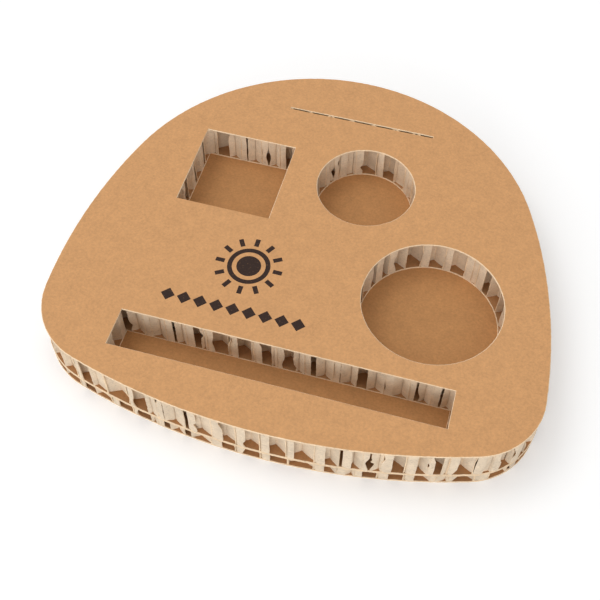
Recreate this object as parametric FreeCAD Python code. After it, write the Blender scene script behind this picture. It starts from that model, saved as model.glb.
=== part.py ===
"""Cup carrier cut from two honeycomb boards glued one on the other.

The upper board has four pockets cut right through it, and the lower board closes them with a floor.
Plan places are measured from the middle of the long slot, +X along the slot and +Y to the back.
The finished pieces are moved so that the origin is under the middle of the board, +Z up.
"""
import FreeCAD, Part
import math
import os

# Boards, in mm
POCKET_BOARD = 23.0
BASE_BOARD = 9.0
LINER = 0.8

# Paper honeycomb: its ribbons run along Y and are pulled wide open along X. A cell is CELL wide between
# its two glued sides, which run along Y, and the next row of cells is shifted by half a cell.
CELL = 14.0
ROW_STEP = 8.0
GLUED = 4.6
CELL_WALL = 0.5
CELL_SHIFT = 2.0
ROW_SHIFT = -1.0

# Plan of the rim: two front corners and a round back, joined by long arcs that touch both neighbours.
# The board's length is over both corners, with the slot in its middle, and its back reach is from the slot.
BOARD_LENGTH = 286.0
BACK_REACH = 224.0
LEFT_CORNER_RADIUS = 46.0
LEFT_CORNER_Y = 19.0
RIGHT_CORNER_RADIUS = 42.0
RIGHT_CORNER_Y = 17.0
BACK_RADIUS = 131.0
BACK_X = -4.0
FRONT_JOIN_RADIUS = 379.0
RIGHT_JOIN_RADIUS = 332.0
LEFT_JOIN_RADIUS = 309.0

# Pockets
SLOT_LENGTH = 190.0
SLOT_WIDTH = 23.0
SQUARE_CENTRE = (-63.5, 126.0)
SQUARE_LENGTH = 58.0
SQUARE_WIDTH = 59.0
LARGE_CENTRE = (72.0, 64.0)
LARGE_RADIUS = 40.5
SMALL_CENTRE = (16.0, 136.5)
SMALL_RADIUS = 30.0

# Card slit, cut from above
SLIT_CENTRE = (0.5, 188.5)
SLIT_LENGTH = 94.0
SLIT_WIDTH = 1.0
SLIT_DEPTH = 14.0

# Cells this near to a cut edge are open: the liners hide the others, which are left closed
OPEN_DEPTH = 0.8

UP = FreeCAD.Vector(0, 0, 1)


def centre_of_join(first, second, radius):
    """Centre of the long arc that touches two round stretches, the second counterclockwise of the first."""
    a, b = FreeCAD.Vector(first[0], first[1], 0), FreeCAD.Vector(second[0], second[1], 0)
    reach_a, reach_b = radius - first[2], radius - second[2]
    along = (b - a).normalize()
    span = (b - a).Length
    foot = (reach_a**2 - reach_b**2 + span**2) / (2 * span)
    return a + along * foot + UP.cross(along) * math.sqrt(reach_a**2 - foot**2)


def point_towards(centre, target, radius):
    """Point of a circle on the ray from its centre through a target."""
    return centre + (target - centre).normalize() * radius


def arc(centre, radius, start, end):
    """Edge along a circle, from start to end counterclockwise."""
    middle_way = (start - centre) + (end - centre)
    return Part.Arc(start, point_towards(centre, centre + middle_way, radius), end).toShape()


def rim():
    """Closed wire round the board."""
    rounds = [
        (LEFT_CORNER_RADIUS - BOARD_LENGTH / 2, LEFT_CORNER_Y, LEFT_CORNER_RADIUS),
        (BOARD_LENGTH / 2 - RIGHT_CORNER_RADIUS, RIGHT_CORNER_Y, RIGHT_CORNER_RADIUS),
        (BACK_X, BACK_REACH - BACK_RADIUS, BACK_RADIUS),
    ]
    radii = [FRONT_JOIN_RADIUS, RIGHT_JOIN_RADIUS, LEFT_JOIN_RADIUS]
    centres = [FreeCAD.Vector(x, y, 0) for x, y, _ in rounds]
    joins = [centre_of_join(rounds[i], rounds[(i + 1) % 3], radii[i]) for i in range(3)]
    edges = []
    for i in range(3):
        here, onward = centres[i], centres[(i + 1) % 3]
        arrive = point_towards(joins[i - 1], here, radii[i - 1])
        leave = point_towards(joins[i], here, radii[i])
        edges.append(arc(here, rounds[i][2], arrive, leave))
        edges.append(arc(joins[i], radii[i], leave, point_towards(joins[i], onward, radii[i])))
    return Part.Wire(edges)


def rectangle(centre, length, width):
    """Flat face of a rectangle, length along X."""
    corner = FreeCAD.Vector(centre[0] - length / 2, centre[1] - width / 2, 0)
    return Part.makePlane(length, width, corner)


def disc(centre, radius):
    """Flat face of a circle."""
    return Part.Face(Part.Wire(Part.makeCircle(radius, FreeCAD.Vector(centre[0], centre[1], 0))))


def cell_face(x, y):
    """Flat face of the inside of one honeycomb cell."""
    half = (CELL - CELL_WALL) / 2
    inner = 1 - CELL_WALL / CELL
    side = inner * GLUED / 2
    tip = inner * (ROW_STEP - GLUED / 2)
    corners = [(half, -side), (half, side), (0, tip), (-half, side), (-half, -side), (0, -tip), (half, -side)]
    return Part.Face(Part.makePolygon([FreeCAD.Vector(x + dx, y + dy, 0) for dx, dy in corners]))


def open_cells(face):
    """Insides of the honeycomb cells that a flat face's edges cut or nearly reach."""
    edges = Part.Compound(face.Edges)
    box = face.BoundBox
    found = []
    for row in range(math.floor(box.YMin / ROW_STEP) - 1, math.ceil(box.YMax / ROW_STEP) + 2):
        shift = CELL_SHIFT + (CELL / 2 if row % 2 else 0)
        for column in range(math.floor(box.XMin / CELL) - 1, math.ceil(box.XMax / CELL) + 2):
            cell = cell_face(column * CELL + shift, row * ROW_STEP + ROW_SHIFT)
            if cell.distToShape(edges)[0] < OPEN_DEPTH:
                found.append(cell)
    return found


def largest(shape):
    """Biggest solid of a shape, without the crumbs that a cut leaves at an edge."""
    return max(shape.Solids, key=lambda solid: solid.Volume)


def sheet(face, bottom, height):
    """Solid that stands on a flat face."""
    return face.translated(UP * bottom).extrude(UP * height)


def core(face, bottom, height):
    """Honeycomb on a flat face, with its cells open along every edge."""
    return largest(sheet(face.cut(Part.Compound(open_cells(face))), bottom, height))


def slit():
    """Solid that a knife takes out along the card slit."""
    top = BASE_BOARD + POCKET_BOARD
    return sheet(rectangle(SLIT_CENTRE, SLIT_LENGTH, SLIT_WIDTH), top - SLIT_DEPTH, SLIT_DEPTH)


def main():
    os.makedirs("parts", exist_ok=True)
    board = Part.Face(rim())
    pockets = [
        rectangle((0, 0), SLOT_LENGTH, SLOT_WIDTH),
        rectangle(SQUARE_CENTRE, SQUARE_LENGTH, SQUARE_WIDTH),
        disc(LARGE_CENTRE, LARGE_RADIUS),
        disc(SMALL_CENTRE, SMALL_RADIUS),
    ]
    pocketed = board.cut(Part.Compound(pockets))
    core_height = POCKET_BOARD - 2 * LINER
    nodes = {
        "base_liner": sheet(board, 0, LINER),
        "base_core": core(board, LINER, BASE_BOARD - 2 * LINER),
        "base_upper_liner": sheet(board, BASE_BOARD - LINER, LINER),
        "pocket_lower_liner": sheet(pocketed, BASE_BOARD, LINER),
        "pocket_core": core(pocketed, BASE_BOARD + LINER, core_height).cut(slit()),
        "top_liner": sheet(pocketed, BASE_BOARD + POCKET_BOARD - LINER, LINER).cut(slit()),
    }
    middle = board.BoundBox.Center
    for name, shape in nodes.items():
        solid = largest(shape)
        solid.translate(-middle)
        solid.exportStep(os.path.join("parts", name + ".step"))


main()
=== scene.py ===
"""Cardboard cup carrier in its finished look: kraft paper liners, torn paper honeycomb, print and light."""

import math
import random

import bmesh
import bpy
from bpy.props import BoolProperty, FloatProperty, FloatVectorProperty, IntProperty, PointerProperty
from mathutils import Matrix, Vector, noise
from mathutils.bvhtree import BVHTree


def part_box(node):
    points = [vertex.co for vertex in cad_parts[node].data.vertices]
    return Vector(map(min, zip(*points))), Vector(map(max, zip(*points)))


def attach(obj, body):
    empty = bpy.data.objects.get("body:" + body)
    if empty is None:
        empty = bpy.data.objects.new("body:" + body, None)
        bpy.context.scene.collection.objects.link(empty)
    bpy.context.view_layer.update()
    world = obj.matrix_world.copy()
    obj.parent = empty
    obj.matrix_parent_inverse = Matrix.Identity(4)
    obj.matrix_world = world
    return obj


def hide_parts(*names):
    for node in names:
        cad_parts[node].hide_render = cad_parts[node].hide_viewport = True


bl_info = {
    "name": "Cardboard Cup Carrier",
    "version": (1, 0, 0),
    "blender": (4, 5, 0),
    "location": "3D View > Sidebar > Carrier",
    "description": "Dresses the packed honeycomb board as a kraft cardboard cup carrier",
    "category": "Object",
}

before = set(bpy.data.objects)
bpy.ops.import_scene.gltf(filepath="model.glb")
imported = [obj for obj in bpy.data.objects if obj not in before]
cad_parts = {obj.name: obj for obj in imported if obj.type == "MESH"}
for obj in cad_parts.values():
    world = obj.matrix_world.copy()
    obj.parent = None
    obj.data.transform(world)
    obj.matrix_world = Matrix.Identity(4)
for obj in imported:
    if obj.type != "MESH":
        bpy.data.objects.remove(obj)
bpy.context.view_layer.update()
MM = 0.001

# Finished pieces and the nodes that they stand for
LINERS = {
    "top_paper": "top_liner",
    "pocket_foot_paper": "pocket_lower_liner",
    "floor_paper": "base_upper_liner",
    "underside_paper": "base_liner",
}
HONEYCOMBS = {"pocket_honeycomb": "pocket_core", "base_honeycomb": "base_core"}

# Points nearer together than this are one: in a packed sheet, in the ribbons' plan, and in the trimmed plan
SAME_SHEET_POINT = 0.001 * MM
SAME_PLAN_POINT = 0.01 * MM
SAME_TRIMMED_POINT = 0.1 * MM
TRIM_HALVINGS = 10

# Directions steeper than this are upright, and faces that meet more sharply than this keep their edge
UPRIGHT = 0.7
SHARP_ANGLE = math.radians(35)

# Weights that make one number of a place, to sort by
SORT_BY = Vector((1.0, 7.31, 53.7))

# Liners: length over which a cut edge wanders, and drop of a softened edge in widths of it
WANDER_LENGTH = 2.2 * MM
EDGE_DROP = 0.8

# Plan of the honeycomb, in papers: offset of a glued sheet from its pair's middle, and reach to its mate's end
GLUED_OFFSET = 0.55
PAIR_REACH = 2

# Cells are pulled out of line over a long and a short way, each with its share of the unevenness. Walls ripple
# over a shorter way, and less where they are near a cut.
LONG_PULL, LONG_PULL_SHARE = 34 * MM, 1.5
SHORT_PULL, SHORT_PULL_SHARE = 9 * MM, 0.5
RIPPLE_LENGTH = 7 * MM
CALM_REACH, CALM_SHARE = 3 * MM, 0.35

# Faces near a cut: longest part of a plan line, height of a row, and heights of the rows in the glue in fillets
LINE_PART = 1.7 * MM
ROW_HEIGHT = 1.9 * MM
GLUE_ROWS = (0.6, 1.2)

# Flaps: widths in flap widths, place where they leave their wall as a length behind the cut and as the greatest
# share of the line, way as shares of the width with depths behind the cut in mm, depths of the tip in mm, and
# least distance to another cut edge
FLAP_WIDTHS = (0.75, 1.15)
FLAP_FOOT, FLAP_FOOT_SHARE = 1.4 * MM, 0.6
FLAP_WAY = ((0.12, 1.0), (0.3, 0.75), (0.65, 0.55))
FLAP_TIP_DEPTHS = (0.3, 0.8)
FLAP_MARGIN = 0.2 * MM

# Cut ends: greatest distance to the sheet's edge, waves, tears with their heights in mm, sideways bends with
# their least share, greatest depth of waves and tears together, and length over which all of them fade
CUT_REACH = 3 * MM
WAVE_LENGTH, WAVE_DEPTH = 1.6 * MM, 0.55 * MM
TEAR_DEPTH, TEAR_SHARES, TEAR_HEIGHTS = 2 * MM, (0.5, 1.0), (2, 6)
BEND_DEPTH, BEND_LEAST = 0.7 * MM, 0.3
DEEPEST = 3.2 * MM
FADE_LENGTH, FADE_POWER = 4 * MM, 1.5

# Places in one square of this size share their dice
DICE_SQUARE = 2 * MM

# Thickness gained in the glue and at a crushed cut, in papers, and length over which a crushed cut frays
GLUE_GAIN = 1.1
CRUSH_GAIN, CRUSH_REACH, FRAY_LENGTH = 0.9, 1.5 * MM, 0.9 * MM

# Ornament, in radii of the sun: ring and dot, half the width of its lines, foot of the rays, and the row of
# diamonds with its distance below the sun's middle, its step and half the width of a diamond
RING, DOT, HALF_LINE, RAY_FOOT = 0.56, 0.36, 0.07, 0.73
ROW_BELOW, DIAMOND_STEP, HALF_DIAMOND = 1.55, 0.48, 0.21
RAYS, DIAMONDS = 12, 9

# White floor as it throws light back and as the camera sees it
FLOOR_BOUNCE = (0.75, 0.75, 0.75)
FLOOR_SEEN = (0.96, 0.96, 0.96)

# The sky dims between this far to the left and this far to the right, 1 being level
SKY_TURN = 0.7


def srgb(red, green, blue):
    """Linear colour of a screen colour given as 0 to 255."""
    parts = [c / 255 for c in (red, green, blue)]
    return tuple(c / 12.92 if c <= 0.04045 else ((c + 0.055) / 1.055) ** 2.4 for c in parts)


# Settings


class PaperSettings(bpy.types.PropertyGroup):
    """Kraft liner sheets."""

    colour: FloatVectorProperty(
        name="Kraft", description="Face of the liners", subtype="COLOR", size=3, min=0, max=1,
        default=srgb(208, 156, 106),
    )
    # Same kraft as the top sheet, painted darker: painted shade of the pockets' floor over the paper's own
    # kraft colour
    pocket_kraft_and_floor_shade: FloatVectorProperty(
        name="Floor kraft", description="Face of the pockets' floor", subtype="COLOR", size=3, min=0, max=1,
        default=srgb(196, 143, 92),
    )
    inner_colour: FloatVectorProperty(
        name="Glued kraft", description="Face of the liners inside the boards", subtype="COLOR", size=3,
        min=0, max=1, default=srgb(172, 125, 83),
    )
    # Pale colour of freshly cut paper fibres; on the liners' softened top edge it is also a painted highlight
    # along the rims
    cut_and_highlight_colour: FloatVectorProperty(
        name="Cut edge", description="Freshly cut paper", subtype="COLOR", size=3, min=0, max=1,
        default=srgb(240, 214, 180),
    )
    edge_round: FloatProperty(
        name="Edge round", description="Width of the softened edge of a cut liner", unit="LENGTH",
        default=0.35 * MM, min=0.05 * MM, max=0.4 * MM,
    )
    ragged: FloatProperty(
        name="Ragged", description="How far a liner's cut edge wanders", unit="LENGTH",
        default=0.2 * MM, min=0, max=1 * MM,
    )
    step: FloatProperty(
        name="Step", description="Length of the parts that a cut edge wanders by", unit="LENGTH",
        default=1.2 * MM, min=0.3 * MM, max=5 * MM,
    )


class HoneycombSettings(bpy.types.PropertyGroup):
    """Expanded paper honeycomb between the liners."""

    colour: FloatVectorProperty(
        name="Core paper", description="Faces of the honeycomb paper", subtype="COLOR", size=3, min=0, max=1,
        default=srgb(228, 208, 182),
    )
    cell: FloatProperty(
        name="Cell", description="Width of a cell across its glued walls", unit="LENGTH",
        default=14 * MM, min=6 * MM, max=40 * MM,
    )
    row_step: FloatProperty(
        name="Row", description="From one row of cells to the next", unit="LENGTH",
        default=8 * MM, min=4 * MM, max=30 * MM,
    )
    glued: FloatProperty(
        name="Glued", description="Length of the glued double walls", unit="LENGTH",
        default=4.6 * MM, min=1 * MM, max=20 * MM,
    )
    paper: FloatProperty(
        name="Paper", description="Thickness of the honeycomb paper", unit="LENGTH",
        default=0.4 * MM, min=0.1 * MM, max=1 * MM,
    )
    fillet: FloatProperty(
        name="Glue", description="Height to which glue thickens the walls along the liners", unit="LENGTH",
        default=0.5 * MM, min=0.1 * MM, max=2 * MM,
    )
    cell_place: FloatVectorProperty(
        name="Place", description="Middle of one cell", subtype="XYZ_LENGTH", size=3,
        default=(2.346 * MM, -91.611 * MM, 0),
    )
    uneven: FloatProperty(
        name="Uneven", description="How far the cells are pulled out of line", unit="LENGTH",
        default=1.5 * MM, min=0, max=4 * MM,
    )
    ripple: FloatProperty(
        name="Ripple", description="How far the walls wave", unit="LENGTH",
        default=0.35 * MM, min=0, max=1 * MM,
    )
    recess: FloatProperty(
        name="Recess", description="How far cut walls stand back from the liners' edges", unit="LENGTH",
        default=0.35 * MM, min=0, max=2 * MM,
    )
    near: FloatProperty(
        name="Near", description="How far from a cut the walls are finely divided", unit="LENGTH",
        default=7 * MM, min=2 * MM, max=60 * MM,
    )
    flap: FloatProperty(
        name="Flap", description="Width of the wall sheets that a cut bends over", unit="LENGTH",
        default=5.4 * MM, min=0, max=8 * MM,
    )
    flap_share: FloatProperty(
        name="Bent over", description="Share of the loose cut sheets that are bent over",
        subtype="FACTOR", default=0.88, min=0, max=1,
    )
    torn_share: FloatProperty(
        name="Torn", description="Share of the cut sheets that are torn", subtype="FACTOR",
        default=0.3, min=0, max=1,
    )
    seed: IntProperty(name="Seed", description="Changes which walls are torn", default=4, min=0)


class PrintSettings(bpy.types.PropertyGroup):
    """Plain ornament printed on the top sheet."""

    shown: BoolProperty(name="Printed", description="Print the ornament on the top sheet", default=True)
    ink: FloatVectorProperty(
        name="Ink", description="Printing ink", subtype="COLOR", size=3, min=0, max=1,
        default=srgb(48, 34, 30),
    )
    centre: FloatVectorProperty(
        name="Centre", description="Middle of the printed sun", subtype="XYZ_LENGTH", size=3,
        default=(-35 * MM, -32 * MM, 0),
    )
    radius: FloatProperty(
        name="Radius", description="Reach of the printed sun's rays", unit="LENGTH",
        default=20 * MM, min=5 * MM, max=40 * MM,
    )


class StageSettings(bpy.types.PropertyGroup):
    """Floor, light and camera."""

    floor: FloatProperty(
        name="Floor", description="Side of the floor", unit="LENGTH", default=6.0, min=1, max=20,
    )
    lamp_power: FloatProperty(
        name="Lamp", description="Power of the main soft lamp", unit="POWER", default=3.3, min=0, max=500,
    )
    fill_power: FloatProperty(
        name="Fill", description="Power of the front fill", unit="POWER", default=9, min=0, max=500,
    )
    sky: FloatProperty(
        name="Sky", description="Strength of the light from the left half of the sky",
        default=1.0, min=0, max=1,
    )
    right_sky: FloatProperty(
        name="Right sky", description="Strength of the right half of the sky as a share of the left half",
        default=0.55, min=0, max=1,
    )
    glow: FloatProperty(
        name="Glow", description="How far the floor is lifted to plain white for the camera",
        default=0.14, min=0, max=1,
    )
    lens: FloatProperty(
        name="Lens", description="Focal length", unit="CAMERA", default=57.95, min=10, max=300,
    )
    camera_place: FloatVectorProperty(
        name="Camera", description="Where the camera stands", subtype="XYZ_LENGTH", size=3,
        default=(0.07764, -0.34004, 0.48592),
    )
    camera_turn: FloatVectorProperty(
        name="Camera turn", description="How the camera is turned", subtype="EULER", size=3,
        default=(math.radians(33.769), math.radians(-0.526), math.radians(15.629)),
    )


# Nodes of materials


def add_node(tree, kind, inputs=None, **settings):
    """Adds a node, sets its properties, and fills or links its inputs."""
    node = tree.nodes.new(kind)
    for key, value in settings.items():
        setattr(node, key, value)
    for key, value in (inputs or {}).items():
        if isinstance(value, bpy.types.NodeSocket):
            tree.links.new(value, node.inputs[key])
        else:
            node.inputs[key].default_value = value
    return node


def calc(tree, operation, *values):
    """Result of a Math node."""
    return add_node(tree, "ShaderNodeMath", dict(enumerate(values)), operation=operation).outputs[0]


def mix_colour(tree, share, first, second, blend="MIX"):
    """Colour between two, or one laid over the other."""
    values = {"Factor": share, "A": first, "B": second}
    node = add_node(tree, "ShaderNodeMix", data_type="RGBA", blend_type=blend)
    for socket in node.inputs:
        if socket.name in values and socket.enabled:
            value = values[socket.name]
            if isinstance(value, bpy.types.NodeSocket):
                tree.links.new(value, socket)
            else:
                socket.default_value = value if socket.name == "Factor" else (*value[:3], 1)
    return next(socket for socket in node.outputs if socket.enabled)


def spread(tree, value, low, high, to_low=0.0, to_high=1.0):
    """Stretches a range of values to another and cuts off the rest."""
    values = {"Value": value, "From Min": low, "From Max": high, "To Min": to_low, "To Max": to_high}
    return add_node(tree, "ShaderNodeMapRange", values, clamp=True).outputs["Result"]


def cloud(tree, place, scale, detail, roughness=0.5):
    """Level of a noise, from 0 to 1."""
    values = {"Vector": place, "Scale": scale, "Detail": detail, "Roughness": roughness}
    return add_node(tree, "ShaderNodeTexNoise", values).outputs["Fac"]


def new_group(name, inputs, outputs):
    """Empty shader node group with named sockets. Returns the tree and its input and output nodes."""
    tree = bpy.data.node_groups.new(name, "ShaderNodeTree")
    for socket_name, kind, default in inputs:
        socket = tree.interface.new_socket(socket_name, in_out="INPUT", socket_type=kind)
        socket.default_value = default
    for socket_name, kind in outputs:
        tree.interface.new_socket(socket_name, in_out="OUTPUT", socket_type=kind)
    return tree, tree.nodes.new("NodeGroupInput"), tree.nodes.new("NodeGroupOutput")


def fibre_group():
    """Paper surface: soft clouds, grain, and short light and dark fibres lying every way."""
    name = "paper_fibres"
    if name in bpy.data.node_groups:
        return bpy.data.node_groups[name]
    inputs = [
        ("Colour", "NodeSocketColor", (0.5, 0.4, 0.3, 1)),
        ("Clouds", "NodeSocketFloat", 0.05),
        ("Grain", "NodeSocketFloat", 0.06),
        ("Fibres", "NodeSocketFloat", 0.25),
    ]
    outputs = [("Colour", "NodeSocketColor"), ("Height", "NodeSocketFloat"), ("Roughness", "NodeSocketFloat")]
    tree, given, result = new_group(name, inputs, outputs)
    place = add_node(tree, "ShaderNodeTexCoord").outputs["Object"]
    clouds = cloud(tree, place, scale=130, detail=4)
    grain = cloud(tree, place, scale=700, detail=5, roughness=0.65)
    fibres = []
    for turn, stretch in ((0.3, (420, 2300, 1500)), (1.4, (460, 2500, 1500)), (2.5, (400, 2200, 1500))):
        values = {"Vector": place, "Rotation": (0, 0, turn), "Scale": stretch}
        turned = add_node(tree, "ShaderNodeMapping", values).outputs[0]
        fibres.append(cloud(tree, turned, scale=1, detail=1))
    light = spread(tree, calc(tree, "MAXIMUM", fibres[0], fibres[1]), 0.64, 0.78)
    dark = spread(tree, calc(tree, "MINIMUM", fibres[1], fibres[2]), 0.36, 0.24)
    level = 1.0
    for part, share in (
        (spread(tree, clouds, 0.3, 0.7, -1.0, 1.0), "Clouds"),
        (spread(tree, grain, 0.3, 0.7, -1.0, 1.0), "Grain"),
        (calc(tree, "MULTIPLY", light, 0.5), "Fibres"),
        (calc(tree, "MULTIPLY", dark, -0.9), "Fibres"),
    ):
        level = calc(tree, "MULTIPLY_ADD", part, given.outputs[share], level)
    shade = add_node(tree, "ShaderNodeCombineColor", {"Red": level, "Green": level, "Blue": level}).outputs[0]
    coloured = mix_colour(tree, 1.0, given.outputs["Colour"], shade, "MULTIPLY")
    height = calc(tree, "MULTIPLY_ADD", calc(tree, "MAXIMUM", fibres[0], fibres[2]), 0.6, grain)
    tree.links.new(coloured, result.inputs["Colour"])
    tree.links.new(height, result.inputs["Height"])
    tree.links.new(spread(tree, grain, 0.3, 0.7, 0.78, 0.92), result.inputs["Roughness"])
    return tree


def ornament_mask(tree, settings):
    """Mask of the printed ornament: a sun with straight rays over a row of diamonds."""
    place = add_node(tree, "ShaderNodeTexCoord").outputs["Object"]
    inputs = {0: place, 1: settings.centre}
    middle = add_node(tree, "ShaderNodeVectorMath", inputs, operation="SUBTRACT").outputs[0]
    axes = add_node(tree, "ShaderNodeSeparateXYZ", {0: middle})
    across, along = axes.outputs["X"], axes.outputs["Y"]
    squares = [calc(tree, "POWER", axis, 2.0) for axis in (across, along)]
    reach = calc(tree, "SQRT", calc(tree, "ADD", *squares))
    turn = calc(tree, "ARCTAN2", along, across)
    radius, half_line = settings.radius, HALF_LINE * settings.radius
    off_ring = calc(tree, "ABSOLUTE", calc(tree, "SUBTRACT", reach, RING * radius))
    ring = calc(tree, "LESS_THAN", off_ring, half_line)
    dot = calc(tree, "LESS_THAN", reach, DOT * radius)
    off_ray = calc(tree, "MULTIPLY", calc(tree, "PINGPONG", turn, math.pi / RAYS), reach)
    in_ray = calc(tree, "LESS_THAN", off_ray, half_line)
    past_ring = calc(tree, "GREATER_THAN", reach, RAY_FOOT * radius)
    before_tip = calc(tree, "LESS_THAN", reach, radius)
    ray = calc(tree, "MULTIPLY", in_ray, calc(tree, "MULTIPLY", past_ring, before_tip))
    step = DIAMOND_STEP * radius
    over = calc(tree, "ABSOLUTE", calc(tree, "ADD", along, ROW_BELOW * radius))
    beside = calc(tree, "PINGPONG", across, step / 2)
    inside = calc(tree, "LESS_THAN", calc(tree, "ADD", over, beside), HALF_DIAMOND * radius)
    in_row = calc(tree, "LESS_THAN", calc(tree, "ABSOLUTE", across), step * DIAMONDS / 2)
    diamond = calc(tree, "MULTIPLY", inside, in_row)
    mask = calc(tree, "MAXIMUM", calc(tree, "MAXIMUM", ring, dot), calc(tree, "MAXIMUM", ray, diamond))
    ink = cloud(tree, place, scale=900, detail=2)
    return calc(tree, "MULTIPLY", mask, spread(tree, ink, 0.25, 0.4, 0.88, 0.99))


def paper_material(name, colour, clouds, grain, fibres, bump, ornament=None):
    """Matt paper, with a printed ornament if its settings are given."""
    material = bpy.data.materials.new(name)
    material.use_nodes = True
    tree = material.node_tree
    shader = tree.nodes["Principled BSDF"]
    values = {"Colour": (*colour, 1), "Clouds": clouds, "Grain": grain, "Fibres": fibres}
    paper = add_node(tree, "ShaderNodeGroup", node_tree=fibre_group())
    for key, value in values.items():
        paper.inputs[key].default_value = value
    surface = paper.outputs["Colour"]
    if ornament and ornament.shown:
        surface = mix_colour(tree, ornament_mask(tree, ornament), surface, ornament.ink)
    bumps = {"Height": paper.outputs["Height"], "Strength": bump, "Distance": 0.05 * MM}
    relief = add_node(tree, "ShaderNodeBump", bumps)
    tree.links.new(surface, shader.inputs["Base Color"])
    tree.links.new(paper.outputs["Roughness"], shader.inputs["Roughness"])
    tree.links.new(relief.outputs["Normal"], shader.inputs["Normal"])
    shader.inputs["Specular IOR Level"].default_value = 0.25
    return material


# Meshes


def rank(part, count):
    """Number to sort an edge or a face by, from the lowest indices of its points."""
    total = 0
    for index in sorted(vert.index for vert in part.verts)[:3]:
        total = total * count + index
    return total


def put_in_order(bm):
    """Sorts a mesh by place, because the order in which extruding makes faces changes from run to run."""
    bm.verts.sort(key=lambda vert: vert.co.dot(SORT_BY))
    bm.verts.index_update()
    for parts in (bm.edges, bm.faces):
        parts.sort(key=lambda part: rank(part, len(bm.verts)))


def build_anew(bm):
    """Builds a mesh anew in order, so that its normals are added up the same way in each run."""
    put_in_order(bm)
    draft = bpy.data.meshes.new("draft")
    bm.to_mesh(draft)
    bm.clear()
    bm.from_mesh(draft)
    bpy.data.meshes.remove(draft)


def make_piece(name, node, bm, materials, smooth=False):
    """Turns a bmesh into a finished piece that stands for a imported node."""
    put_in_order(bm)
    mesh = bpy.data.meshes.new(name)
    bm.to_mesh(mesh)
    bm.free()
    for material in materials:
        mesh.materials.append(material)
    if smooth:
        mesh.shade_smooth()
        mesh.set_sharp_from_angle(angle=SHARP_ANGLE)
    piece = bpy.data.objects.new(name, mesh)
    bpy.context.scene.collection.objects.link(piece)
    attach(piece, "root")
    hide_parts(node)
    return piece


def is_upright(direction):
    """Whether a direction runs up and down."""
    return abs(direction.z) > UPRIGHT * direction.length


def rim_faces(bm):
    """Faces of a flat sheet's edge."""
    return [face for face in bm.faces if abs(face.normal.z) < 0.5]


class Plan:
    """Plan of a sheet, to ask how far inside its edges a point is."""

    def __init__(self, node):
        bm = bmesh.new()
        bm.from_mesh(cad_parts[node].data)
        bm.normal_update()
        sides = [[corner.co.copy() for corner in face.verts] for face in rim_faces(bm)]
        triangles = [tuple(range(3 * i, 3 * i + 3)) for i in range(len(sides))]
        self.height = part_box(node)[0].z
        self.sheet = BVHTree.FromBMesh(bm)
        self.rim = BVHTree.FromPolygons([co for side in sides for co in side], triangles)
        bm.free()

    def nearest_rim(self, point):
        """Nearest point of the sheet's edge and the distance to it, in plan."""
        spot, _, _, distance = self.rim.find_nearest(Vector((point.x, point.y, self.height)))
        return spot, distance

    def holds(self, point, margin):
        """Whether a point is over the sheet and clear of its edges by a margin."""
        above = Vector((point.x, point.y, self.height + 1))
        if self.sheet.ray_cast(above, Vector((0, 0, -1)))[0] is None:
            return False
        return self.nearest_rim(point)[1] >= margin


def items_of(geom, kind):
    """Points, edges or faces among an operator's results."""
    return [item for item in geom if isinstance(item, kind)]


def liner(name, node, settings, materials):
    """Sheet of liner paper with softened, slightly ragged cut edges. Rim and softened edge take the pale cut
    paper, which on the softened top edge is partly a painted highlight.
    """
    low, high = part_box(node)
    bm = bmesh.new()
    bm.from_mesh(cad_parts[node].data)
    bmesh.ops.remove_doubles(bm, verts=bm.verts, dist=SAME_SHEET_POINT)
    bm.normal_update()
    out = bm.verts.layers.float_vector.new("out")
    for face in rim_faces(bm):
        for vert in face.verts:
            vert[out] = (vert[out] + face.normal).normalized()
    bmesh.ops.delete(bm, geom=[face for face in bm.faces if face.normal.z > -0.5], context="FACES")
    by_cuts = {}
    for edge in bm.edges:
        if edge.is_boundary:
            by_cuts.setdefault(int(edge.calc_length() / settings.step), []).append(edge)
    for cuts in [cuts for cuts in by_cuts if cuts]:
        bmesh.ops.subdivide_edges(bm, edges=by_cuts[cuts], cuts=cuts)
    for vert in bm.verts:
        if vert.is_boundary:
            wander = max(0, min(1, 0.5 + 0.8 * noise.noise(vert.co / WANDER_LENGTH)))
            vert.co -= vert[out] * settings.ragged * wander
    bmesh.ops.reverse_faces(bm, faces=bm.faces)
    top = bmesh.ops.extrude_face_region(bm, geom=bm.faces[:], use_keep_orig=True)["geom"]
    top_faces = items_of(top, bmesh.types.BMFace)
    bmesh.ops.translate(bm, verts=items_of(top, bmesh.types.BMVert), vec=(0, 0, high.z - low.z))
    bmesh.ops.recalc_face_normals(bm, faces=bm.faces)
    bm.normal_update()
    width = settings.edge_round
    softened = bmesh.ops.inset_region(bm, faces=top_faces, thickness=width, use_boundary=True)["faces"]
    inner = {vert for face in top_faces for vert in face.verts}
    for vert in {vert for face in softened for vert in face.verts} - inner:
        neighbours = [edge.other_vert(vert) for edge in vert.link_edges]
        twin = next(other for other in neighbours if other in inner)
        twin.co = vert.co - vert[out] * width
        vert.co.z -= width * EDGE_DROP
    bm.normal_update()
    # Rim: the cut paper's own pale colour. Softened top edge: a painted highlight along the rim over the
    # crushed fibres' own paler tone
    for face in softened + rim_faces(bm):
        face.material_index = 1
    return make_piece(name, node, bm, materials)


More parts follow.
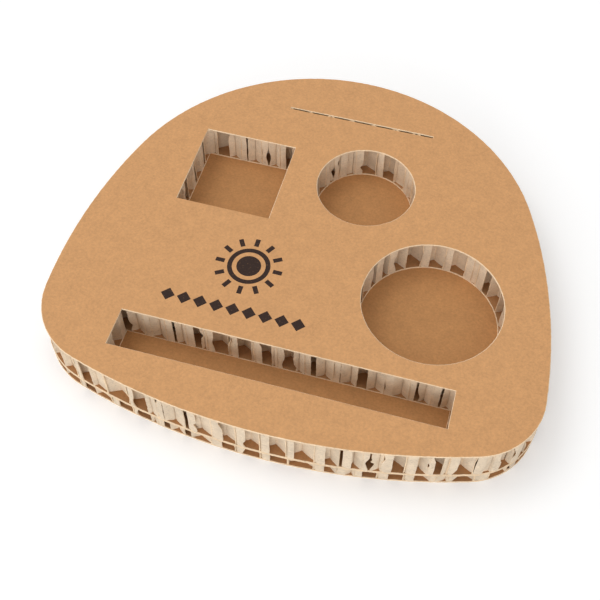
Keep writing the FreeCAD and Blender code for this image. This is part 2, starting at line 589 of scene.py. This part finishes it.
def ribbon_lines(bm, settings, low, high):
    """Plan lines of all the honeycomb's ribbons over a rectangle. Glued ribbons lie just apart."""
    step, side = settings.row_step, settings.glued / 2
    near = settings.paper * GLUED_OFFSET
    far = settings.cell / 2 - near
    path = [(far, -side), (far, side), (near, step - side), (near, step + side), (far, 2 * step - side)]
    verts = [bm.verts.new((x, y, 0)) for x, y in path]
    edges = [bm.edges.new(pair) for pair in zip(verts, verts[1:])]
    bmesh.ops.mirror(bm, geom=verts + edges, axis="X", merge_dist=-1)
    for move, count in (
        (Vector((0, 2 * step, 0)), math.ceil((high.y - low.y) / (2 * step)) + 2),
        (Vector((settings.cell, 0, 0)), math.ceil((high.x - low.x) / settings.cell) + 2),
    ):
        geom = bm.verts[:] + bm.edges[:]
        bmesh.ops.spin(bm, geom=geom, axis=(0, 0, 1), dvec=move, angle=0, steps=count, use_duplicate=True)
        bmesh.ops.remove_doubles(bm, verts=bm.verts, dist=SAME_PLAN_POINT)
    place = Vector(settings.cell_place)
    start_x = place.x - math.ceil((place.x - low.x) / settings.cell + 1) * settings.cell
    start_y = place.y - math.ceil((place.y - low.y) / (2 * step) + 1) * 2 * step
    bmesh.ops.translate(bm, verts=bm.verts, vec=Vector((start_x, start_y, low.z)))


def level_steps(vert):
    """Neighbours of a point in its own row of a wall, each with the level way to it."""
    for edge in vert.link_edges:
        other = edge.other_vert(vert)
        step = other.co - vert.co
        if not is_upright(step):
            yield other, Vector((step.x, step.y, 0))


def pull(point, reach, amount):
    """Smooth sideways displacement that differs from place to place."""
    shift = noise.noise_vector(point / reach) * amount
    return Vector((shift.x, shift.y, 0))


def trim_lines(bm, plan, margin):
    """Cuts plan lines off where they leave a sheet's plan."""
    held = {vert: plan.holds(vert.co, margin) for vert in bm.verts}
    for edge in [e for e in bm.edges if held[e.verts[0]] != held[e.verts[1]]]:
        inner, outer = sorted(edge.verts, key=held.get, reverse=True)
        near, far = 0.0, 1.0
        for _ in range(TRIM_HALVINGS):
            middle = (near + far) / 2
            if plan.holds(inner.co.lerp(outer.co, middle), margin):
                near = middle
            else:
                far = middle
        _, crossing = bmesh.utils.edge_split(edge, inner, near)
        held[crossing] = True
    bmesh.ops.delete(bm, geom=[vert for vert in bm.verts if not held[vert]], context="VERTS")
    bmesh.ops.remove_doubles(bm, verts=bm.verts, dist=SAME_TRIMMED_POINT)


def at_depth(plan, point, depth):
    """Place of a point that is moved to a given depth behind the nearest edge of a sheet's plan."""
    spot, distance = plan.nearest_rim(point)
    inward = (point - Vector((spot.x, spot.y, point.z))) / distance
    return Vector((spot.x, spot.y, point.z)) + inward * depth


def dice_at(point, seed):
    """Dice of their own for each place, so that a cut falls the same way however the lines were made."""
    return random.Random(f"{seed} {round(point.x / DICE_SQUARE)} {round(point.y / DICE_SQUARE)}")


def bend_sheets(bm, plan, settings):
    """Bends sheets over at the cut, so that they lie almost flush with it and half close the cell beside.

    Of a glued pair one sheet is bent. A single sheet is folded back on itself, and its fold stays at the cut.
    """
    ends = [vert for vert in bm.verts if len(vert.link_edges) == 1]
    places = [vert.co.copy() for vert in ends]
    for vert, place in zip(ends, places):
        mates = [other for other in places if 0 < (other - place).length < PAIR_REACH * settings.paper]
        spot, _ = plan.nearest_rim(place)
        outward = Vector((spot.x - place.x, spot.y - place.y, 0)).normalized()
        along = Vector((-outward.y, outward.x, 0))
        neighbour = vert.link_edges[0].other_vert(vert)
        run = place - neighbour.co
        ahead = place - mates[0] if mates else run
        dice = dice_at(place, settings.seed)
        if ahead.dot(along) < 0 or dice.random() > settings.flap_share:
            continue
        width = settings.flap * dice.uniform(*FLAP_WIDTHS)
        start = place.lerp(neighbour.co, min(FLAP_FOOT_SHARE, FLAP_FOOT / run.length))
        way = [*FLAP_WAY, (1, dice.uniform(*FLAP_TIP_DEPTHS))]
        path = [at_depth(plan, start + along * width * part, depth * MM) for part, depth in way]
        if not all(plan.holds(point, FLAP_MARGIN) for point in path):
            continue
        if mates:
            vert.co = start
        else:
            vert = bm.verts.new(start)
        for point in path:
            vert = bmesh.ops.extrude_vert_indiv(bm, verts=[vert])["verts"][0]
            vert.co = point


def split_by_distance(bm, plan, reach):
    """Edges of the plan lines near a cut edge, and the others."""
    near, far = [], []
    for edge in bm.edges:
        middle = (edge.verts[0].co + edge.verts[1].co) / 2
        (near if plan.nearest_rim(middle)[1] < reach else far).append(edge)
    return near, far


def refine(bm, edges, longest):
    """Divides lines into parts no longer than a given length. Returns all the parts."""
    by_cuts = {}
    for edge in edges:
        by_cuts.setdefault(int(edge.calc_length() / longest), []).append(edge)
    parts = set(by_cuts.pop(0, []))
    for cuts, chosen in sorted(by_cuts.items()):
        done = bmesh.ops.subdivide_edges(bm, edges=chosen, cuts=cuts)
        parts.update(items_of(done["geom_inner"] + done["geom_split"], bmesh.types.BMEdge))
    return sorted(parts, key=lambda edge: edge.index)


def raise_lines(bm, edges, rises):
    """Extrudes plan lines into upright sheets, row by row."""
    for rise in rises:
        grown = bmesh.ops.extrude_edge_only(bm, edges=edges)["geom"]
        edges = items_of(grown, bmesh.types.BMEdge)
        bmesh.ops.translate(bm, verts=items_of(grown, bmesh.types.BMVert), vec=(0, 0, rise))


def wall_rises(height, fillet):
    """Heights of the rows of a wall's faces, lower where glue thickens the wall along both liners."""
    foot = [fillet * share for share in GLUE_ROWS]
    middle = height - 2 * sum(foot)
    rows = max(2, round(middle / ROW_HEIGHT))
    return foot + [middle / rows] * rows + foot[::-1]


def roughen_ends(bm, plan, settings, low, high):
    """Makes the cut ends of the walls wavy and bends them, and tears some of them."""
    cuts = [edge for edge in bm.edges if edge.is_boundary and is_upright(edge.verts[1].co - edge.verts[0].co)]
    shifts = {}
    for vert in dict.fromkeys(vert for edge in cuts for vert in edge.verts):
        if plan.nearest_rim(vert.co)[1] > CUT_REACH:
            continue
        dice = dice_at(vert.co, settings.seed)
        torn = dice.uniform(*TEAR_SHARES) if dice.random() < settings.torn_share else 0
        centre, half_height = dice.uniform(low.z, high.z), dice.uniform(*TEAR_HEIGHTS) * MM
        side = dice.uniform(-1, 1)
        inward = next(step for _, step in level_steps(vert))
        wave = (0.5 + 0.5 * noise.noise(vert.co / WAVE_LENGTH)) * WAVE_DEPTH
        tear = torn * TEAR_DEPTH * math.exp(-(((vert.co.z - centre) / half_height) ** 2))
        along = Vector((-inward.y, inward.x, 0)).normalized()
        bulge = math.sin(math.pi * (vert.co.z - low.z) / (high.z - low.z))
        bend = side * (BEND_LEAST + torn) * BEND_DEPTH * bulge
        shifts[vert] = (inward.normalized(), min(DEEPEST, wave + tear), along * bend)
    moves = {}
    for first, (inward, erode, bend) in shifts.items():
        vert, start, passed, share = first, first.co, {first}, 1
        while vert and share > 0:
            share = max(0, 1 - max(0, (vert.co - start).dot(inward)) / FADE_LENGTH)
            moves[vert] = moves.get(vert, Vector()) + inward * erode * share**FADE_POWER + bend * share
            vert = next((other for other, _ in level_steps(vert) if other not in passed), None)
            passed.add(vert)
    for vert, move in moves.items():
        vert.co += move


def wall_thickness(vert, plan, settings, low, high):
    """Thickness of the paper at a point of a wall: more where glue clings and where the cut crushed it."""
    to_liner = min(vert.co.z - low.z, high.z - vert.co.z)
    glue = math.exp(-max(0, to_liner) / settings.fillet)
    crushed = max(0, 1 - plan.nearest_rim(vert.co)[1] / CRUSH_REACH)
    frayed = 0.6 + 0.6 * noise.noise(vert.co / FRAY_LENGTH)
    return settings.paper * (1 + GLUE_GAIN * glue + CRUSH_GAIN * crushed * frayed)


def thicken(bm, thickness_at):
    """Gives open sheets a thickness and marks the narrow faces round them as cut paper."""
    bm.normal_update()
    out = bm.verts.layers.float_vector.new("out")
    for vert in bm.verts:
        vert[out] = vert.normal * thickness_at(vert) / 2
    sheets = bm.faces[:]
    grown = bmesh.ops.extrude_face_region(bm, geom=sheets, use_keep_orig=True)["geom"]
    far_faces = set(items_of(grown, bmesh.types.BMFace))
    far_verts = {vert for face in far_faces for vert in face.verts}
    for vert in bm.verts:
        vert.co += vert[out] * (1 if vert in far_verts else -1)
    kept = far_faces.union(sheets)
    for face in bm.faces:
        face.material_index = 0 if face in kept else 1
    bmesh.ops.recalc_face_normals(bm, faces=bm.faces)


def honeycomb(name, node, plan, settings, materials):
    """Honeycomb of glued, expanded paper ribbons, cut off ragged at the board's edges."""
    low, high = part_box(node)
    height = high.z - low.z
    rises = wall_rises(height, settings.fillet)
    noise.seed_set(settings.seed + 1)
    bm = bmesh.new()
    ribbon_lines(bm, settings, low, high)
    for vert in bm.verts:
        vert.co += pull(vert.co + Vector((0, 0, height)), LONG_PULL, settings.uneven * LONG_PULL_SHARE)
        vert.co += pull(vert.co + Vector((0, 0, height)), SHORT_PULL, settings.uneven * SHORT_PULL_SHARE)
    trim_lines(bm, plan, settings.recess)
    bend_sheets(bm, plan, settings)
    near, far = split_by_distance(bm, plan, settings.near)
    near = refine(bm, near, LINE_PART)
    raise_lines(bm, far, [height])
    raise_lines(bm, near, rises)
    build_anew(bm)
    for vert in bm.verts:
        inside = min(1, plan.nearest_rim(vert.co)[1] / CALM_REACH)
        vert.co += pull(vert.co, RIPPLE_LENGTH, settings.ripple) * (CALM_SHARE + (1 - CALM_SHARE) * inside)
    roughen_ends(bm, plan, settings, low, high)
    thicken(bm, lambda vert: wall_thickness(vert, plan, settings, low, high))
    for vert in bm.verts:
        vert.co = [min(max(value, least), most) for value, least, most in zip(vert.co, low, high)]
    return make_piece(name, node, bm, materials, smooth=True)


# Operators


class CARRIER_OT_liners(bpy.types.Operator):
    """Make the four liner sheets"""

    bl_idname = "carrier.liners"
    bl_label = "Liner sheets"

    def execute(self, context):
        paper, ornament = context.scene.carrier_paper, context.scene.carrier_print
        kraft = {"grain": 0.11, "fibres": 0.12, "bump": 0.35}
        # Cut paper's own pale colour, which also paints a highlight on the liners' softened edges
        cut = paper_material("pale_cut_and_highlight", paper.cut_and_highlight_colour, clouds=0.06, grain=0.1, fibres=0.3, bump=0.6)
        inner = paper_material("inner_paper", paper.inner_colour, clouds=0.08, grain=0.1, fibres=0.15, bump=0.4)
        faces = {
            "top_paper": paper_material("printed_kraft", paper.colour, clouds=0.04, ornament=ornament, **kraft),
            # The floor sheet's kraft is darker than the top's as painted shade of the pockets
            "floor_paper": paper_material("kraft_with_painted_floor_shade", paper.pocket_kraft_and_floor_shade, clouds=0.05, **kraft),
        }
        for name, node in LINERS.items():
            liner(name, node, paper, [faces.get(name, inner), cut])
        return {"FINISHED"}


class CARRIER_OT_honeycombs(bpy.types.Operator):
    """Make the thick and the thin honeycomb"""

    bl_idname = "carrier.honeycombs"
    bl_label = "Honeycombs"

    def execute(self, context):
        settings, paper = context.scene.carrier_honeycomb, context.scene.carrier_paper
        wall = paper_material("honeycomb_paper", settings.colour, clouds=0.1, grain=0.07, fibres=0.3, bump=0.5)
        # Torn honeycomb edges take only the cut paper's own pale colour
        torn = paper_material("torn_paper", paper.cut_and_highlight_colour, clouds=0.08, grain=0.12, fibres=0.3, bump=0.8)
        plans = {"pocket_honeycomb": Plan("pocket_lower_liner"), "base_honeycomb": Plan("base_liner")}
        for name, node in HONEYCOMBS.items():
            honeycomb(name, node, plans[name], settings, [wall, torn])
        return {"FINISHED"}


class CARRIER_OT_stage(bpy.types.Operator):
    """Make the floor, the light and the camera"""

    bl_idname = "carrier.stage"
    bl_label = "Stage"

    def execute(self, context):
        scene = context.scene
        settings = scene.carrier_stage
        make_floor(scene, settings)
        make_light(scene, settings)
        camera = bpy.data.objects.new("camera", bpy.data.cameras.new("camera"))
        camera.data.lens = settings.lens
        camera.data.sensor_width = 36
        camera.location = settings.camera_place
        camera.rotation_euler = settings.camera_turn
        camera.data.clip_start, camera.data.clip_end = 0.01, 20
        scene.collection.objects.link(camera)
        scene.camera = camera
        scene.view_settings.view_transform = "Standard"
        return {"FINISHED"}


def seen_directly(tree):
    """1 for rays from the camera, from gloss and through glass, so that a backdrop shows plain white."""
    path = add_node(tree, "ShaderNodeLightPath")
    gloss = calc(tree, "MAXIMUM", path.outputs["Is Glossy Ray"], path.outputs["Is Transmission Ray"])
    return calc(tree, "MAXIMUM", path.outputs["Is Camera Ray"], gloss)


def make_floor(scene, settings):
    """White floor, brighter to the camera than to the light that it throws back."""
    bm = bmesh.new()
    bmesh.ops.create_grid(bm, x_segments=1, y_segments=1, size=settings.floor / 2)
    mesh = bpy.data.meshes.new("floor")
    bm.to_mesh(mesh)
    bm.free()
    floor = bpy.data.objects.new("floor", mesh)
    scene.collection.objects.link(floor)
    material = bpy.data.materials.new("white_floor")
    material.use_nodes = True
    tree = material.node_tree
    shader = tree.nodes["Principled BSDF"]
    seen = seen_directly(tree)
    tree.links.new(mix_colour(tree, seen, FLOOR_BOUNCE, FLOOR_SEEN), shader.inputs["Base Color"])
    tree.links.new(calc(tree, "MULTIPLY", seen, settings.glow), shader.inputs["Emission Strength"])
    shader.inputs["Emission Color"].default_value = (1, 1, 1, 1)
    shader.inputs["Roughness"].default_value = 1
    shader.inputs["Specular IOR Level"].default_value = 0
    mesh.materials.append(material)


def make_light(scene, settings):
    """Large soft lamp high on the left, a low fill from the front, and a sky that is weaker on the right."""
    lamps = {
        "main_lamp": ((-0.7, 0.15, 1.3), 0.8, settings.lamp_power),
        "front_fill": ((0.1, -1.7, 0.45), 1.2, settings.fill_power),
    }
    for name, (place, size, power) in lamps.items():
        lamp = bpy.data.lights.new(name, "AREA")
        lamp.shape, lamp.size, lamp.energy = "DISK", size, power
        holder = bpy.data.objects.new(name, lamp)
        holder.location = place
        holder.rotation_euler = (-Vector(place)).to_track_quat("-Z", "Y").to_euler()
        scene.collection.objects.link(holder)
    world = bpy.data.worlds.new("sky")
    world.use_nodes = True
    tree = world.node_tree
    background = tree.nodes["Background"]
    background.inputs["Color"].default_value = (1, 1, 1, 1)
    direction = add_node(tree, "ShaderNodeSeparateXYZ")
    tree.links.new(add_node(tree, "ShaderNodeTexCoord").outputs["Generated"], direction.inputs[0])
    dimmed = settings.sky * settings.right_sky
    light = spread(tree, direction.outputs["X"], -SKY_TURN, SKY_TURN, settings.sky, dimmed)
    tree.links.new(calc(tree, "MAXIMUM", seen_directly(tree), light), background.inputs["Strength"])
    scene.world = world


class VIEW3D_PT_carrier(bpy.types.Panel):
    """Steps that make the carrier, with their settings"""

    bl_label = "Cup carrier"
    bl_idname = "VIEW3D_PT_carrier"
    bl_space_type = "VIEW_3D"
    bl_region_type = "UI"
    bl_category = "Carrier"

    def draw(self, context):
        layout = self.layout
        steps = [
            ("carrier.liners", [context.scene.carrier_paper, context.scene.carrier_print]),
            ("carrier.honeycombs", [context.scene.carrier_honeycomb]),
            ("carrier.stage", [context.scene.carrier_stage]),
        ]
        for operator, groups in steps:
            box = layout.box()
            box.operator(operator)
            for group in groups:
                for key in group.__annotations__:
                    box.prop(group, key)


SETTINGS = {
    "carrier_paper": PaperSettings,
    "carrier_honeycomb": HoneycombSettings,
    "carrier_print": PrintSettings,
    "carrier_stage": StageSettings,
}
OPERATORS = [CARRIER_OT_liners, CARRIER_OT_honeycombs, CARRIER_OT_stage]
CLASSES = [*SETTINGS.values(), *OPERATORS, VIEW3D_PT_carrier]


def register():
    for item in CLASSES:
        bpy.utils.register_class(item)
    for name, group in SETTINGS.items():
        setattr(bpy.types.Scene, name, PointerProperty(type=group))


def unregister():
    for name in SETTINGS:
        delattr(bpy.types.Scene, name)
    for item in reversed(CLASSES):
        bpy.utils.unregister_class(item)


def main():
    register()
    bpy.ops.carrier.liners()
    bpy.ops.carrier.honeycombs()
    bpy.ops.carrier.stage()


if __name__ == "__main__":
    main()
